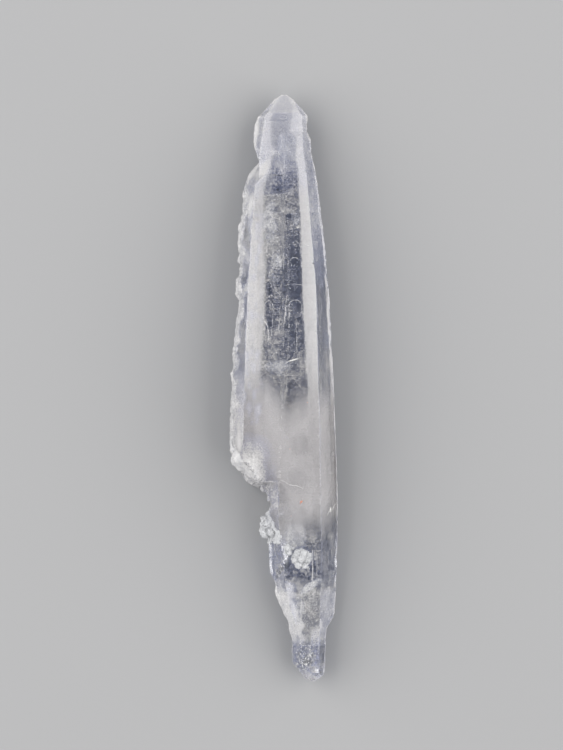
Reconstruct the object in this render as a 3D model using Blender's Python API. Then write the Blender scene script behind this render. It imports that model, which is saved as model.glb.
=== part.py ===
"""A laser quartz point: one slim, tapering crystal of clear to milky quartz, lying on its back face.

Frame: metres, +Z up. +Y runs along the crystal's long axis towards the sharp tip, +X to the right as
the tip points away. The origin is under the middle of the crystal, on the surface that it lies on.
"""

import math

import bmesh
import bpy
from mathutils import Matrix, Vector

MM = 0.001

# Driving dimensions, in millimetres. Each outline is a list of (Y, value): how one line of the crystal
# runs from the tip, at +Y, to the healed base. It is the outline of the prism before its ends are cut.
RING_STEP = 0.8
PRISM_START, PRISM_END = 52.0, -52.0

FRONT_HEIGHT = [
    (52.0, 6.1), (46.6, 6.5), (40.5, 7.15), (34.0, 8.8), (24.5, 10.6), (19.0, 11.2),
    (13.0, 11.75), (5.6, 12.2), (0.0, 12.15), (-7.2, 11.9), (-15.7, 11.2), (-22.5, 10.35),
    (-29.3, 9.2), (-36.1, 7.8), (-42.9, 6.4), (-52.0, 5.6),
]
BACK_HEIGHT = [(52.0, 0.6), (37.0, 0.0), (-40.0, 0.0), (-52.0, 0.6)]

# The main crystal, whose tip and base make the two ends of the point.
MAIN_LEFT = [
    (52.0, -4.9), (46.5, -4.95), (45.0, -5.05), (41.8, -5.25), (39.7, -4.8), (38.4, -4.35),
    (33.0, -4.6), (20.0, -4.4), (-12.0, -4.3), (-16.4, -4.2), (-17.1, -3.7), (-18.3, -2.9),
    (-19.4, -2.2), (-21.4, -2.8), (-25.3, -2.75), (-31.3, -2.45), (-32.3, -2.0), (-33.2, -1.5),
    (-34.7, -1.65), (-36.2, -1.05), (-38.7, -0.05), (-39.7, 0.6), (-41.4, 0.8), (-42.2, 1.15),
    (-45.7, 1.3), (-52.0, 1.4),
]
MAIN_RIGHT = [
    (52.0, 4.0), (46.5, 4.0), (44.0, 4.05), (43.6, 3.9), (42.6, 4.5), (39.4, 4.9),
    (36.1, 5.6), (29.6, 6.35), (24.7, 6.95), (17.3, 7.6), (9.9, 8.05), (0.2, 8.5),
    (-11.2, 8.95), (-20.2, 9.2), (-28.4, 9.1), (-28.9, 8.95), (-29.4, 9.1), (-37.1, 8.8),
    (-38.8, 8.6), (-39.7, 8.15), (-40.9, 7.35), (-44.9, 7.15), (-52.0, 6.9),
]
MAIN_FRONT_LEFT = [
    (52.0, -3.2), (46.5, -3.25), (43.5, -3.6), (40.8, -4.0), (38.5, -4.25), (33.0, -4.0),
    (20.0, -3.0), (0.0, -2.0), (-14.0, -1.1), (-21.6, -1.0), (-29.3, -0.2), (-36.1, 0.7),
    (-41.2, 2.3), (-44.5, 2.7), (-52.0, 2.8),
]
MAIN_FRONT_RIGHT = [
    (52.0, 3.05), (46.5, 3.1), (40.8, 3.25), (35.7, 3.9), (29.6, 4.35), (17.3, 5.35),
    (9.9, 5.55), (-8.8, 6.0), (-25.8, 6.3), (-34.7, 6.2), (-44.5, 6.0), (-52.0, 5.9),
]

# The left crystal, grown side by side with the main one and sunk into it. It stands a little proud of
# the main crystal's front face. Its sharp left edge is chipped away all the way down, to CHIPPED_EDGE.
WING_START, WING_END = 41.0, -19.0
WING_PROUD_OF_FRONT = 0.1
WING_ABOVE_BACK = 0.05
WING_RIGHT_SHARE_OF_HEIGHT = 0.36
CHIP_BEVEL = 0.5
WING_LEFT = [
    (41.0, -6.8), (33.2, -7.3), (28.0, -7.9), (20.0, -8.5), (10.0, -9.0), (0.0, -9.4),
    (-9.0, -9.6), (-19.0, -9.6),
]
CHIPPED_EDGE = [
    (41.0, -5.0), (37.0, -5.75), (36.3, -6.15), (35.1, -6.5), (33.3, -6.9), (29.9, -6.95),
    (28.7, -7.25), (27.2, -7.6), (23.8, -7.8), (22.8, -7.45), (21.4, -7.85), (20.7, -7.5),
    (19.1, -7.55), (18.4, -8.0), (16.0, -8.1), (14.9, -7.5), (9.2, -8.2), (4.9, -8.7),
    (3.4, -8.5), (2.4, -9.0), (0.8, -8.7), (-3.2, -9.05), (-4.4, -8.85), (-5.4, -9.2),
    (-8.8, -9.2), (-11.5, -8.95), (-19.0, -8.8),
]
WING_FRONT_LEFT = [
    (41.0, -4.8), (34.7, -4.95), (26.0, -5.5), (16.3, -6.1), (7.8, -6.45), (-4.9, -6.85),
    (-8.8, -6.9), (-19.0, -6.95),
]
WING_FRONT_RIGHT = [(41.0, -0.2), (4.7, -0.2), (-5.5, -0.5), (-16.0, -0.9), (-19.0, -0.95)]

# Faces that end the crystals, each as (a point on the face, the way it faces). A rhombohedral face is
# given by the direction it faces round the long axis, in degrees, because its lean is always the same.
MAIN_TIP_FACES = [
    ((0.35, 49.98, 3.9), 90), ((0.35, 50.9, 3.9), 30), ((0.35, 50.15, 3.9), -30),
    ((0.35, 49.97, 3.9), -90), ((0.35, 50.95, 3.9), -150), ((0.35, 51.75, 3.9), 150),
]
MAIN_TIP_CORNER = [((-0.85, 49.65, 4.0), (-0.52, 0.85, 0.1))]
WING_TIP_FACES = [
    ((-4.97, 34.2, 8.85), 150), ((-5.2, 37.5, 3.1), -150), ((-3.0, 35.9, 8.4), 90),
]
WING_BREAK = [
    ((-8.2, -13.2, 7.4), (-0.85, -0.48, 0.2)),
    ((-6.4, -15.05, 5.0), (-0.7, -0.68, 0.2)),
    ((-4.7, -16.4, 4.0), (0.0, -1.0, 0.08)),
]
HEALED_BASE = [
    ((3.3, -49.97, 3.5), (0.0, -1.0, 0.0)),
    ((1.45, -46.9, 3.5), (-0.78, -0.625, 0.0)),
    ((2.1, -48.6, 3.5), (-0.5, -0.87, 0.0)),
    ((5.8, -49.6, 3.5), (0.5, -0.86, 0.0)),
    ((6.95, -48.5, 3.5), (0.74, -0.67, 0.0)),
    ((4.5, -48.9, 5.2), (0.0, -0.78, 0.62)),
    ((3.0, -46.8, 5.7), (-0.5, -0.55, 0.67)),
    ((4.5, -47.8, 0.8), (0.1, -0.62, -0.78)),
]

# Quartz is a hexagonal prism whose faces meet at 120 degrees, so a flank face falls this much for
# each millimetre that it runs outwards. Its end faces lean this far from the long axis.
FLANK_FALL = math.tan(math.radians(60))
END_FACE_LEAN = math.radians(38.2)

# Small crystals that grew in clumps on the point: (X, Y, Z of the crystal's middle, its length, its
# width, then the way its tip points), in millimetres.
LEFT_CLUMP = [
    (-2.9, -22.6, 6.2, 2.6, 1.7, (-0.8, 0.5, 0.3)),
    (-3.1, -24.1, 5.4, 2.9, 1.9, (-1.0, -0.1, 0.2)),
    (-2.9, -24.5, 6.9, 2.5, 1.6, (-0.7, -0.5, 0.6)),
    (-2.5, -23.0, 7.5, 2.3, 1.5, (-0.5, 0.6, 0.7)),
    (-3.0, -23.3, 4.3, 2.5, 1.6, (-0.9, 0.2, -0.4)),
    (-2.1, -24.3, 8.1, 2.1, 1.4, (-0.4, -0.3, 0.9)),
    (-2.3, -21.8, 5.8, 2.1, 1.4, (-0.5, 0.9, 0.1)),
]
FRONT_CLUMP = [
    (2.2, -27.9, 9.6, 1.6, 1.3, (-0.4, 0.5, 0.9)),
    (3.3, -27.8, 9.6, 1.5, 1.4, (0.3, 0.5, 0.9)),
    (1.9, -28.9, 9.5, 1.6, 1.2, (-0.6, 0.0, 0.9)),
    (2.9, -28.7, 9.7, 1.7, 1.4, (0.1, 0.1, 1.0)),
    (3.9, -28.9, 9.4, 1.5, 1.3, (0.6, -0.1, 0.9)),
    (2.4, -29.8, 9.4, 1.6, 1.3, (-0.2, -0.5, 0.9)),
    (3.5, -29.9, 9.3, 1.6, 1.2, (0.4, -0.6, 0.9)),
    (0.5, -26.9, 9.8, 1.3, 1.0, (-0.4, 0.4, 0.9)),
    (0.9, -27.7, 9.7, 1.2, 0.8, (0.2, -0.4, 0.9)),
]


def smooth_at(outline, y):
    """An outline's value at this Y, on a smooth curve through the outline's points."""
    last = len(outline) - 1
    i = next(i for i in range(last) if y >= outline[i + 1][0] or i == last - 1)

    def slope(k):
        above, below = outline[max(k - 1, 0)], outline[min(k + 1, last)]
        return (below[1] - above[1]) / (below[0] - above[0])

    (y0, start), (y1, end) = outline[i], outline[i + 1]
    span = y1 - y0
    t = (y - y0) / span
    return (
        (2 * t**3 - 3 * t**2 + 1) * start
        + (t**3 - 2 * t**2 + t) * span * slope(i)
        + (3 * t**2 - 2 * t**3) * end
        + (t**3 - t**2) * span * slope(i + 1)
    )


def straight_at(outline, y):
    """An outline's value at this Y, on the straight line between its two nearest points."""
    for (y0, start), (y1, end) in zip(outline, outline[1:]):
        if y >= y1:
            return start + (end - start) * (y - y0) / (y1 - y0)
    return outline[-1][1]


def hexagon(left, front_left, front_right, right, front, back):
    """The corners (x, z) of a cross-section whose sides all meet at 120 degrees."""
    right_height = front - (right - front_right) * FLANK_FALL
    left_height = front - (front_left - left) * FLANK_FALL
    back_right = right - (right_height - back) / FLANK_FALL
    back_left = left + (left_height - back) / FLANK_FALL
    return [
        (front_left, front), (front_right, front), (right, right_height),
        (back_right, back), (back_left, back), (left, left_height),
    ]


def main_section(y):
    return hexagon(
        left=smooth_at(MAIN_LEFT, y),
        front_left=smooth_at(MAIN_FRONT_LEFT, y),
        front_right=smooth_at(MAIN_FRONT_RIGHT, y),
        right=smooth_at(MAIN_RIGHT, y),
        front=smooth_at(FRONT_HEIGHT, y),
        back=straight_at(BACK_HEIGHT, y),
    )


def wing_section(y):
    """The left crystal's hexagon, with its left corner chipped off by a slanting cut."""
    front = smooth_at(FRONT_HEIGHT, y) + WING_PROUD_OF_FRONT
    front_right = smooth_at(WING_FRONT_RIGHT, y)
    corners = hexagon(
        left=smooth_at(WING_LEFT, y),
        front_left=smooth_at(WING_FRONT_LEFT, y),
        front_right=front_right,
        right=front_right + WING_RIGHT_SHARE_OF_HEIGHT * front,
        front=front,
        back=straight_at(BACK_HEIGHT, y) + WING_ABOVE_BACK,
    )
    (left, left_height) = corners.pop()
    lower = straight_at(CHIPPED_EDGE, y)
    upper = lower + CHIP_BEVEL
    corners.append((lower, left_height - (lower - left) * FLANK_FALL))
    corners.append((upper, left_height + (upper - left) * FLANK_FALL))
    return corners


def ring_heights(start, end, *outlines):
    """The Y of every ring: even steps, and each point of these outlines."""
    steps = round((start - end) / RING_STEP)
    even = {start + (end - start) * i / steps for i in range(steps + 1)}
    points = {y for outline in outlines for y, _ in outline if end <= y <= start}
    apart = [y for y in even if all(abs(y - point) > RING_STEP / 3 for point in points)]
    return sorted(apart + list(points))


def loft(section, ring_ys):
    """A prism through the cross-sections at these Y, closed by a flat face at each end."""
    bm = bmesh.new()
    rings = [[bm.verts.new((x, y, z)) for x, z in section(y)] for y in ring_ys]
    sides = len(rings[0])
    for near, far in zip(rings, rings[1:]):
        for i in range(sides):
            j = (i + 1) % sides
            bm.faces.new((near[i], far[i], far[j], near[j]))
    bm.faces.new(rings[0])
    bm.faces.new(list(reversed(rings[-1])))
    return bm


def cut_flat(bm, point, normal):
    """Removes what lies beyond a plane and closes the cut with one flat face."""
    bmesh.ops.bisect_plane(
        bm,
        geom=bm.verts[:] + bm.edges[:] + bm.faces[:],
        dist=1e-5,
        plane_co=point,
        plane_no=normal,
        clear_outer=True,
    )
    open_edges = [edge for edge in bm.edges if edge.is_boundary]
    bmesh.ops.contextual_create(bm, geom=open_edges)


def end_face_normal(facing):
    turn = math.radians(facing)
    across = math.cos(END_FACE_LEAN)
    return Vector((across * math.cos(turn), math.sin(END_FACE_LEAN), across * math.sin(turn)))


def finished(bm, name):
    """The mesh in metres, facing outwards, as an object of the scene."""
    bmesh.ops.remove_doubles(bm, verts=bm.verts, dist=1e-4)
    bmesh.ops.recalc_face_normals(bm, faces=bm.faces)
    bm.transform(Matrix.Scale(MM, 4))
    mesh = bpy.data.meshes.new(name)
    bm.to_mesh(mesh)
    bm.free()
    piece = bpy.data.objects.new(name, mesh)
    bpy.context.scene.collection.objects.link(piece)
    return piece


def main_crystal():
    bm = loft(
        main_section, ring_heights(PRISM_START, PRISM_END, MAIN_LEFT, MAIN_RIGHT, BACK_HEIGHT)
    )
    for point, facing in MAIN_TIP_FACES:
        cut_flat(bm, Vector(point), end_face_normal(facing))
    for point, normal in MAIN_TIP_CORNER + HEALED_BASE:
        cut_flat(bm, Vector(point), Vector(normal))
    return finished(bm, "quartz_point")


def left_crystal():
    bm = loft(wing_section, ring_heights(WING_START, WING_END, CHIPPED_EDGE))
    for point, facing in WING_TIP_FACES:
        cut_flat(bm, Vector(point), end_face_normal(facing))
    for point, normal in WING_BREAK:
        cut_flat(bm, Vector(point), Vector(normal))
    return finished(bm, "left_crystal")


def small_crystal(name, x, y, z, length, width, tip):
    """One little hexagonal crystal with a point at each end, for a clump."""
    bm = bmesh.new()
    shoulder = length / 2 - width / 3
    start, end = bm.verts.new((0, 0, -length / 2)), bm.verts.new((0, 0, length / 2))
    turns = [math.radians(60 * i + 7) for i in range(6)]
    lower, upper = [
        [bm.verts.new((width / 2 * math.cos(t), width / 2 * math.sin(t), level)) for t in turns]
        for level in (-shoulder, shoulder)
    ]
    for i in range(6):
        j = (i + 1) % 6
        bm.faces.new((lower[i], lower[j], upper[j], upper[i]))
        bm.faces.new((start, lower[j], lower[i]))
        bm.faces.new((end, upper[i], upper[j]))
    aim = Vector(tip).to_track_quat("Z", "Y").to_matrix().to_4x4()
    bm.transform(Matrix.Translation((x, y, z)) @ aim)
    return finished(bm, name)


def join(body, grown_on):
    """Joins another crystal to the body for good: what grew together is one solid."""
    grown_on.hide_render = True
    grown_on.display_type = "WIRE"
    union = body.modifiers.new(grown_on.name, "BOOLEAN")
    union.operation = "UNION"
    union.solver = "EXACT"
    union.object = grown_on


def join_clump(body, clump, label):
    for number, (x, y, z, length, width, tip) in enumerate(clump, start=1):
        join(body, small_crystal(f"{label}_{number}", x, y, z, length, width, tip))


def quartz_material():
    material = bpy.data.materials.new("quartz")
    material.use_nodes = True
    shader = material.node_tree.nodes["Principled BSDF"]
    shader.inputs["Base Color"].default_value = (0.93, 0.94, 0.96, 1.0)
    shader.inputs["Metallic"].default_value = 0.0
    shader.inputs["Roughness"].default_value = 0.12
    shader.inputs["IOR"].default_value = 1.544
    shader.inputs["Transmission Weight"].default_value = 1.0
    return material


def main():
    for old in list(bpy.data.objects):
        bpy.data.objects.remove(old)
    body = main_crystal()
    join(body, left_crystal())
    join_clump(body, LEFT_CLUMP, "left_clump")
    join_clump(body, FRONT_CLUMP, "front_clump")
    body.data.materials.append(quartz_material())


main()
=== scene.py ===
import math
from functools import partial
from types import SimpleNamespace

import bmesh
import bpy
import numpy as np
from mathutils import Matrix, Vector, noise
from mathutils.kdtree import KDTree


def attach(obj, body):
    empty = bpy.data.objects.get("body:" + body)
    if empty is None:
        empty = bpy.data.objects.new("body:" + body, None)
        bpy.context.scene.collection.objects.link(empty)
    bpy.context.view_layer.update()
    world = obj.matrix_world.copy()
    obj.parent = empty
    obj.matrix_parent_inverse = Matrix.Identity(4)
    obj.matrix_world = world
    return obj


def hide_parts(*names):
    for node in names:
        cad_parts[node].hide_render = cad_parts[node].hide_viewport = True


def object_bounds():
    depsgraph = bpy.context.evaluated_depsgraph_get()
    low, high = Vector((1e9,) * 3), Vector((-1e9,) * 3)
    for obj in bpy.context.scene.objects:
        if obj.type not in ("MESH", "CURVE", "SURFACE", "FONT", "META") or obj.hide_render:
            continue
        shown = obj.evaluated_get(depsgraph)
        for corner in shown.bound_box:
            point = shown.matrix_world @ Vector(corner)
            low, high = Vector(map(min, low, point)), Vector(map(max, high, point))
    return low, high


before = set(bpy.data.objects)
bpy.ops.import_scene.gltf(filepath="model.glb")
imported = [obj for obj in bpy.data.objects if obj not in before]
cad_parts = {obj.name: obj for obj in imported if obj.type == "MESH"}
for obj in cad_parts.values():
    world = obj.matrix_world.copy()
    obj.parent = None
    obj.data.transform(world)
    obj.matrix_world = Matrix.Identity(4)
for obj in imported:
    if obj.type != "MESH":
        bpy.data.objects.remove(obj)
cad_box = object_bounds()


# --- Outer faces of the crystal -------------------------------------------------------------------
# The quartz itself: two clear crystals grown side by side, closed by natural faces, with growth steps
# across the prism, worn edges and a chipped left rim. The solid's faces are cut into a fine net, and
# all relief sinks into it, so the crystal keeps its size.

# Shapes are worked out in millimetres, and piece_from turns them into metres.
MM = 0.001
# The net's pitch along the crystal and across it, and the angle from which an edge is worn.
NET_ALONG = 0.30
NET_ACROSS = 0.42
WORN_EDGE = math.radians(18)
# The broken end of the left crystal: where its edge on the front face starts, at the left.
BREAK_START = (-7.6, -12.2)
SCAR_MIDDLE = (-2.6, -18.5, 9.0)
LEFT_CLUMP_MIDDLE = (-2.8, -23.5, 6.2)
FRONT_CLUMP_MIDDLE = (2.9, -28.8, 9.9)
# Where the left crystal's front face, which stands this much proud of the main one's, ends against
# it, as (Y, X). The step is rounded down over a millimetre.
STEP_HEIGHT = 0.1
STEP_LINE = [(36.0, -0.2), (4.7, -0.2), (-5.5, -0.5), (-17.0, -0.92)]
# Etched patches of the front faces: middle, reach and how deep the pits are there, from 0 to 1.
# Where they reach, the frosted faces also have pits painted dark: painted shade.
ETCHED = [
    ((3.7, -45.6, 0), 3.0, 0.9), ((-1.4, -32.0, 0), 0.75, 0.9), ((-0.95, -31.2, 0), 0.8, 1.0),
    ((-0.5, -30.4, 0), 0.75, 0.9), ((1.9, -26.0, 0), 3.0, 0.12), ((-2.2, -18.0, 0), 2.8, 0.35),
    ((-1.7, -28.2, 0), 2.3, 0.5), ((2.6, -32.9, 0), 1.6, 0.35),
]


def netted(source):
    """A closed copy of the solid whose faces are cut by evenly spaced planes."""
    bm = bmesh.new()
    bm.from_mesh(source.data)
    bm.transform(source.matrix_world)
    bmesh.ops.scale(bm, vec=(1 / MM,) * 3, verts=bm.verts)
    bmesh.ops.remove_doubles(bm, verts=bm.verts, dist=1e-3)
    bmesh.ops.join_triangles(
        bm,
        faces=bm.faces,
        angle_face_threshold=math.radians(1.5),
        angle_shape_threshold=math.pi,
    )
    low = [min(v.co[axis] for v in bm.verts) for axis in range(3)]
    high = [max(v.co[axis] for v in bm.verts) for axis in range(3)]
    for axis, pitch in ((1, NET_ALONG), (0, NET_ACROSS), (2, NET_ACROSS)):
        facing = Vector([float(axis == i) for i in range(3)])
        for step in range(1, int((high[axis] - low[axis]) / pitch) + 1):
            at = facing * (low[axis] + step * pitch)
            whole = bm.verts[:] + bm.edges[:] + bm.faces[:]
            bmesh.ops.bisect_plane(bm, geom=whole, dist=0.02, plane_co=at, plane_no=facing)
    bmesh.ops.remove_doubles(bm, verts=bm.verts, dist=0.015)
    bm.normal_update()
    return bm


def ramp(value, start, end):
    """0 at start, 1 at end, eased between them."""
    t = np.clip((value - start) / (end - start), 0.0, 1.0)
    return t * t * (3 - 2 * t)


def along(line, y):
    """The value that a list of (Y, value), from high Y to low, has at this Y."""
    levels, values = zip(*reversed(line))
    return np.interp(y, levels, values)


def left_outline(bm):
    """Where the crystal's left outline runs, as a function of Y."""
    places = np.array([v.co[:] for v in bm.verts])
    levels = np.arange(-49.6, 50.0, 0.4)
    reach = [np.min(places[np.abs(places[:, 1] - level) < 0.35, 0], initial=20.0) for level in levels]
    return lambda y: np.interp(y, levels, reach)


def near(x, y, z, middle, radius):
    """1 at a place on the crystal, falling to 0 at this distance from it."""
    away = np.sqrt((x - middle[0]) ** 2 + (y - middle[1]) ** 2 + (z - middle[2]) ** 2)
    return ramp(away, radius, radius * 0.45)


def growth_depth(vert, flank):
    """How deep a point lies for the growth steps across the prism and the faces' slow waves."""
    x, y, z = vert.co
    level = y + 0.35 * noise.noise(vert.co * 0.5)
    steps = noise.cell(Vector((0.0, level * 1.7, 3.0)))
    steps += 0.6 * noise.cell(Vector((0.0, level * 0.8, 7.0)))
    depth = (0.012 + (0.03 if vert.normal.z > 0 else 0.06) * flank) * (steps + 1.6) * 0.5
    return depth + 0.035 * noise.noise(Vector((x * 0.6, y * 0.22, z * 0.6)))


def broken_shares(vert, left_edge):
    """How far a point belongs to the chipped rim, the broken end, the scar and a clump, from 0 to 1."""
    x, y, z = vert.co
    ragged = 0.75 + 0.7 * noise.noise(Vector((1.0, y * 0.55, z * 0.3)))
    ragged += 0.3 * noise.noise(vert.co * 1.9)
    rim = ramp(x - left_edge(y), 1.5 * ragged, 0.25 * ragged)
    rim *= ramp(y, -17.0, -13.0) * ramp(y, 36.5, 32.0)
    past_break = (x - BREAK_START[0]) * 0.76 + (y - BREAK_START[1]) * 0.65
    broken = ramp(-vert.normal.y, 0.05, 0.3) * ramp(x, -0.6, -2.6) * (-19.0 < y < -8.0)
    broken = max(broken, ramp(past_break, 1.4 * ragged, 0.3) * (z > 7.5 and -17.0 < y < -9.0))
    scar = 0.6 * near(x, y, z, SCAR_MIDDLE, 3.2) * ramp(x, -0.4, -2.2)
    clump = max(near(x, y, z, LEFT_CLUMP_MIDDLE, 3.4), near(x, y, z, FRONT_CLUMP_MIDDLE, 2.1))
    return rim, broken, scar, clump


def rough_depth(vert, rough, broken, clump):
    """How deep a point lies for the lumps and grains of a broken face, and for a clump's own lumps."""
    lumps, grains = noise.voronoi(vert.co * 0.9)[0], noise.voronoi(vert.co * 2.1)[0]
    depth = 0.36 * (0.5 - min(1.0, lumps[0] * 1.4)) + 0.20 * (0.5 - min(1.0, grains[0] * 1.6))
    depth *= rough * max(0.0, 1 - 4 * clump)
    depth += clump * (0.15 + 0.28 * noise.noise(vert.co * 0.8 + Vector((0, 0, 5))))
    return depth + 0.9 * broken * (0.2 + noise.noise(vert.co * 0.5 + Vector((4, 0, 0))))


def face_step_depth(vert):
    """How deep a point lies for the step where the left crystal's front face ends."""
    x, y, z = vert.co
    step_at = along(STEP_LINE, y) - x
    if z > 7.0 and -17.5 < y < 34.9 and -0.06 < step_at < 1.0:
        fronts = [face.calc_center_median().x - x for face in vert.link_faces if face.normal.z > 0.9]
        if step_at > 0.06 or (fronts and sum(fronts) < 0):
            return STEP_HEIGHT * (1 - max(0.0, step_at))
    return 0.0


def worn_edges_of(bm):
    """The points on sharp edges, but for the low step between the two front faces."""
    worn = KDTree(len(bm.verts))
    for edge in bm.edges:
        if edge.is_manifold and edge.calc_face_angle(0.0) > WORN_EDGE:
            x, y, z = edge.verts[0].co
            on_step = abs(x + 0.35) < 1.0 and z > 7.0 and y > -17.0
            if not on_step:
                worn.insert(edge.verts[0].co, edge.verts[0].index)
                worn.insert(edge.verts[1].co, edge.verts[1].index)
    worn.balance()
    return worn


def sink_relief(bm):
    """Moves each point of the net inwards, by the relief that the natural face has there."""
    left_edge, worn = left_outline(bm), worn_edges_of(bm)
    masks = [bm.verts.layers.float.new(name) for name in ("edge_distance", "rough", "flank", "etched")]
    moves = []
    for vert in bm.verts:
        x, y, z = vert.co
        normal = vert.normal
        flank = min(1.0, abs(normal.x) * 1.3)
        depth = growth_depth(vert, flank)
        etched = max(near(x, y, 0, place, reach) * share for place, reach, share in ETCHED)
        etched *= z > 2 or y < -42
        depth += 0.05 * etched * (0.5 + noise.noise(vert.co * 1.6) + 0.5 * noise.noise(vert.co * 3.1))
        if y < -26.0 and normal.z < -0.2:
            depth += 0.09 * (0.5 + noise.noise(vert.co * 0.8))
        rim, broken, scar, clump = broken_shares(vert, left_edge)
        rough = max(rim, broken, scar, clump)
        if rough > 0:
            depth += rough_depth(vert, rough, broken, clump)
        depth += face_step_depth(vert)
        edge_at = worn.find(vert.co)[2]
        wear = max(0.0, 1 - edge_at / 0.35)
        depth += wear * (0.02 + 0.07 * max(0.0, noise.noise(vert.co * 1.1) + 0.35))
        flank *= ramp(abs(normal.z), 0.98, 0.85)
        for mask, value in zip(masks, (edge_at, rough, flank, etched)):
            vert[mask] = value
        moves.append(normal * depth)
    low, high = [[pick(v.co[axis] for v in bm.verts) for axis in range(3)] for pick in (min, max)]
    for vert, move in zip(bm.verts, moves):
        vert.co = [min(max(at, least), most) for at, least, most in zip(vert.co - move, low, high)]
    bmesh.ops.remove_doubles(bm, verts=bm.verts, dist=0.03)


def placed(name, data):
    """A new object in the scene that shows this data."""
    made = bpy.data.objects.new(name, data)
    bpy.context.scene.collection.objects.link(made)
    return made


def piece_from(bm, name, sharp_above):
    """The mesh in metres as an object at the origin, smooth but for edges over an angle in degrees."""
    bmesh.ops.scale(bm, vec=(MM,) * 3, verts=bm.verts)
    mesh = bpy.data.meshes.new(name)
    bm.to_mesh(mesh)
    bm.free()
    mesh.shade_smooth()
    mesh.set_sharp_from_angle(angle=math.radians(sharp_above))
    return placed(name, mesh)


def quartz_piece(bm, name, sharp_above, material):
    """The mesh as a piece of quartz in this material."""
    piece = piece_from(bm, name, sharp_above)
    piece.data.materials.append(material)
    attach(piece, "root")
    return piece


def new_material(name, values):
    """A node material, its tree and its Principled shader, which has these values by name."""
    material = bpy.data.materials.new(name)
    material.use_nodes = True
    shader = material.node_tree.nodes["Principled BSDF"]
    for key, value in values.items():
        shader.inputs[key].default_value = value
    return material, material.node_tree, shader


def node(tree, kind, **settings):
    """A new node, with its own settings and then its inputs' values by name."""
    made = tree.nodes.new("ShaderNode" + kind)
    values = settings.pop("inputs", {})
    for key, value in settings.items():
        setattr(made, key, value)
    for key, value in values.items():
        made.inputs[key].default_value = value
    return made


def node_group(name, inputs, outputs):
    """An empty shader group that takes a place and these numbers, and its two end nodes."""
    group = bpy.data.node_groups.new(name, "ShaderNodeTree")
    group.interface.new_socket("Place", in_out="INPUT", socket_type="NodeSocketVector")
    for way, sockets in (("INPUT", inputs), ("OUTPUT", outputs)):
        for socket in sockets:
            group.interface.new_socket(socket, in_out=way, socket_type="NodeSocketFloat")
    return group, group.nodes.new("NodeGroupInput"), group.nodes.new("NodeGroupOutput")


def math_of(tree, operation, *values, clamp=False):
    """A math node on these values or sockets; gives its output."""
    made = node(tree, "Math", operation=operation, use_clamp=clamp)
    for i, value in enumerate(values):
        if isinstance(value, (int, float)):
            made.inputs[i].default_value = value
        else:
            tree.links.new(value, made.inputs[i])
    return made.outputs[0]


def mixed(tree, share, first, second):
    """A colour between two: the first where the share is 0. Each is a value or a socket."""
    made = node(tree, "Mix", data_type="RGBA")
    tree.links.new(share, made.inputs[0])
    for i, colour in ((6, first), (7, second)):
        if isinstance(colour, tuple):
            made.inputs[i].default_value = colour
        else:
            tree.links.new(colour, made.inputs[i])
    return made.outputs[2]


def noise_of(tree, place, stretch, detail, roughness=0.55):
    """Noise whose grains are this many to the metre along X, Y and Z."""
    mapping = node(tree, "Mapping", inputs={"Scale": stretch})
    pattern = node(tree, "TexNoise", inputs={"Scale": 1.0, "Detail": detail, "Roughness": roughness})
    tree.links.new(place, mapping.inputs["Vector"])
    tree.links.new(mapping.outputs[0], pattern.inputs["Vector"])
    return pattern.outputs["Fac"]


def growth_relief_group():
    """Fine growth steps across the prism and small etch pits, as a height and a gloss."""
    group, start, end = node_group("growth relief", ("Steps", "Pits"), ("Height", "Matt"))
    link, calc = group.links.new, partial(math_of, group)
    place = start.outputs["Place"]
    fine = noise_of(group, place, (260.0, 6200.0, 260.0), 2.0)
    broad = noise_of(group, place, (120.0, 1500.0, 120.0), 3.0)
    grain = noise_of(group, place, (2600.0, 1900.0, 2600.0), 3.0, 0.65)
    patch = noise_of(group, place, (420.0, 160.0, 420.0), 2.0)
    lines = calc("ADD", fine, broad)
    where = calc("MULTIPLY", calc("SUBTRACT", patch, 0.34), 3.0, clamp=True)
    lines = calc("MULTIPLY", calc("MULTIPLY", lines, where), start.outputs["Steps"])
    pits = calc("MULTIPLY", grain, start.outputs["Pits"])
    link(calc("ADD", lines, pits), end.inputs["Height"])
    link(calc("MULTIPLY", grain, where), end.inputs["Matt"])
    return group


# What a shadow ray keeps of the light where it enters the quartz, and where it leaves.
SHADOW_IN = (0.060, 0.084, 0.165, 1.0)
SHADOW_OUT = (0.93, 0.93, 0.93, 1.0)


def clear_quartz():
    """Glossy clear quartz with fine growth steps, whose shadow on the ground is tinted, not black."""
    body = {"Base Color": (0.972, 0.972, 0.98, 1.0), "IOR": 1.544, "Transmission Weight": 1.0}
    material, tree, shader = new_material("clear quartz", body)
    link, calc = tree.links.new, partial(math_of, tree)
    relief = node(tree, "Group", node_tree=growth_relief_group())
    link(node(tree, "TexCoord").outputs["Object"], relief.inputs["Place"])
    for socket, mask, most, least in (("Steps", "flank", 3.4, 0.3), ("Pits", "etched", 7.0, 0.6)):
        share = node(tree, "Attribute", attribute_name=mask).outputs["Fac"]
        link(calc("MULTIPLY_ADD", share, most, least), relief.inputs[socket])
    bump = node(tree, "Bump", inputs={"Strength": 0.8, "Distance": 0.00002})
    link(relief.outputs["Height"], bump.inputs["Height"])
    link(bump.outputs[0], shader.inputs["Normal"])
    dull = calc("MULTIPLY_ADD", relief.outputs["Matt"], 0.06, 0.006)
    link(dull, shader.inputs["Roughness"])
    path = node(tree, "LightPath")
    passing = calc("MAXIMUM", path.outputs["Is Shadow Ray"], path.outputs["Is Diffuse Ray"])
    leaving = node(tree, "NewGeometry").outputs["Backfacing"]
    through = node(tree, "BsdfTransparent")
    link(mixed(tree, leaving, SHADOW_IN, SHADOW_OUT), through.inputs[0])
    blend = node(tree, "MixShader")
    for i, part in enumerate((passing, shader.outputs[0], through.outputs[0])):
        link(part, blend.inputs[i])
    link(blend.outputs[0], tree.nodes["Material Output"].inputs["Surface"])
    return material


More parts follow.
